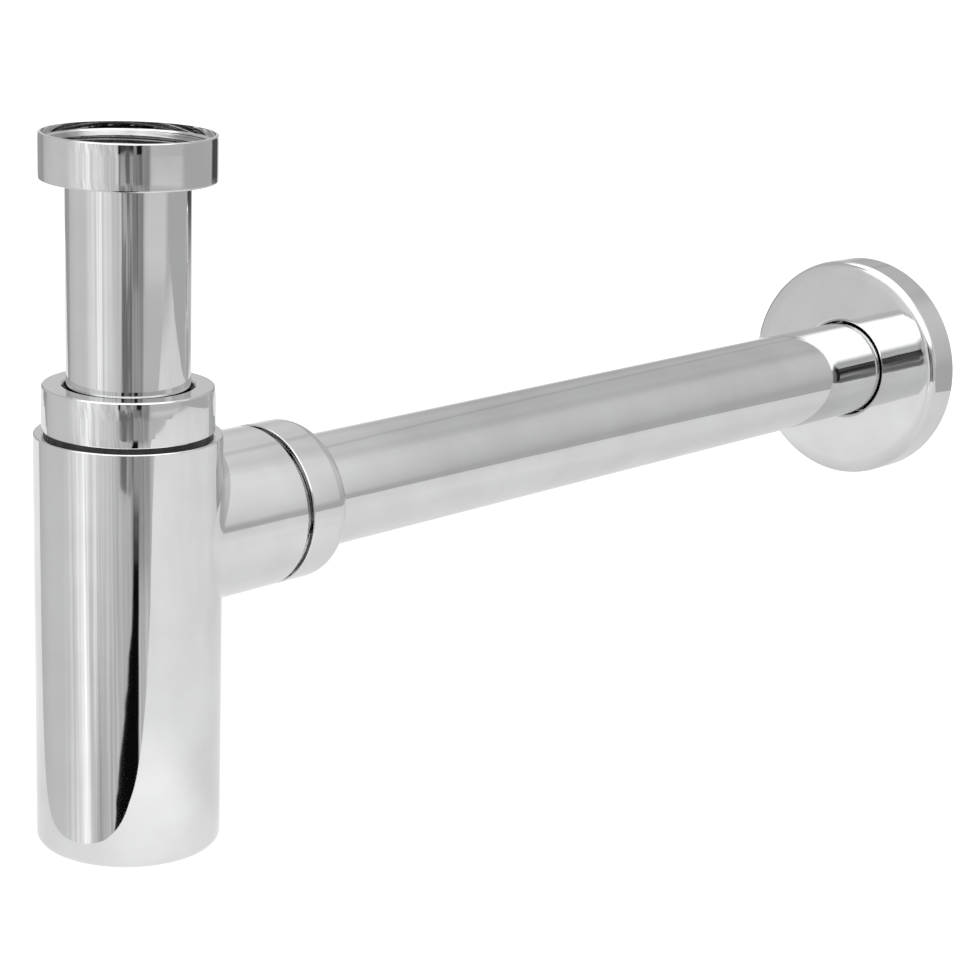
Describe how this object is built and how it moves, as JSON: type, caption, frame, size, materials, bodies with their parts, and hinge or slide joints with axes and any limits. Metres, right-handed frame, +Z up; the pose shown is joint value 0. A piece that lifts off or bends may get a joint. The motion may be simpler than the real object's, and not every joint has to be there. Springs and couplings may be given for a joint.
{
  "type": "bottle trap",
  "caption": "Round bottle trap for a basin: threaded inlet nut and dip tube, bottle with side branch, compression nuts, straight outlet tube and sliding wall flange.",
  "frame": {"origin": "centre of the upper end of the inlet nut's thread, where the basin waste's threaded tail goes in", "axes": "+Z up along the inlet, +X along the outlet tube towards the wall"},
  "size_m": [0.3875, 0.0748, 0.1887],
  "materials": {
    "chrome": "polished plate on brass",
    "washer_rubber": "moulded, matt",
    "gasket_rubber": "moulded, matt",
    "seal_rubber": "moulded, matt",
    "slip_plastic": "dark grey, moulded"
  },
  "bodies": {
    "inlet_coupling": {"inlet_nut": "chrome", "inlet_nut_ring": "slip_plastic"},
    "top_washer": {"inlet_washer": "washer_rubber"},
    "dip_tube": {"inlet_tube": "chrome"},
    "neck_seal": {"bottle_seal": "seal_rubber"},
    "bottle_body": {"bottle": "chrome", "bottle_gasket": "gasket_rubber"},
    "neck_slip_ring": {"bottle_slip_ring": "slip_plastic"},
    "neck_nut": {"bottle_nut": "chrome"},
    "branch_seal": {"outlet_seal": "seal_rubber"},
    "branch_slip_ring": {"outlet_slip_ring": "slip_plastic"},
    "branch_nut": {"outlet_nut": "chrome"},
    "wall_tube": {"outlet_tube": "chrome"},
    "grip_ring": {"flange_grip_ring": "gasket_rubber"},
    "cover_flange": {"wall_flange": "chrome"}
  },
  "joints": [
    {"name": "inlet_nut_drop", "type": "slide", "parent": "inlet_coupling", "child": "top_washer", "axis": [0, 0, 1], "range_m": [0, 0.032]},
    {"name": "inlet_nut_turn", "type": "hinge", "parent": "top_washer", "child": "dip_tube", "pos_m": [0, 0, 0], "axis": [0, 0, 1], "continuous": true},
    {"name": "bottle_height", "type": "slide", "parent": "dip_tube", "child": "neck_seal", "axis": [0, 0, 1], "range_m": [-0.04, 0.012]},
    {"name": "bottle_swivel", "type": "hinge", "parent": "neck_seal", "child": "bottle_body", "pos_m": [0, 0, -0.0747], "axis": [0, 0, 1], "continuous": true},
    {"name": "bottle_nut_lift", "type": "slide", "parent": "bottle_body", "child": "neck_slip_ring", "axis": [0, 0, 1], "range_m": [0, 0.0064]},
    {"name": "bottle_nut_unscrew", "type": "hinge", "parent": "neck_slip_ring", "child": "neck_nut", "pos_m": [0, 0, -0.0747], "axis": [0, 0, 1], "range_deg": [0, 990]},
    {"name": "outlet_nut_travel", "type": "slide", "parent": "bottle_body", "child": "branch_slip_ring", "axis": [1, 0, 0], "range_m": [0, 0.0064]},
    {"name": "outlet_nut_unscrew", "type": "hinge", "parent": "branch_slip_ring", "child": "branch_nut", "pos_m": [0.0444, 0, -0.1023], "axis": [1, 0, 0], "range_deg": [0, 990]},
    {"name": "outlet_tube_turn", "type": "hinge", "parent": "bottle_body", "child": "branch_seal", "pos_m": [0.0444, 0, -0.1023], "axis": [1, 0, 0], "continuous": true},
    {"name": "outlet_tube_slide", "type": "slide", "parent": "branch_seal", "child": "wall_tube", "axis": [1, 0, 0], "range_m": [-0.004, 0.018]},
    {"name": "flange_slide", "type": "slide", "parent": "wall_tube", "child": "grip_ring", "axis": [1, 0, 0], "range_m": [-0.25, 0.01]},
    {"name": "flange_turn", "type": "hinge", "parent": "grip_ring", "child": "cover_flange", "pos_m": [0.3282, 0, -0.1023], "axis": [1, 0, 0], "continuous": true}
  ],
  "couplings": [
    {"joint": "bottle_nut_lift", "follows": "bottle_nut_unscrew", "m_per_rad": 0.00036749},
    {"joint": "outlet_nut_travel", "follows": "outlet_nut_unscrew", "m_per_rad": 0.00036749}
  ]
}
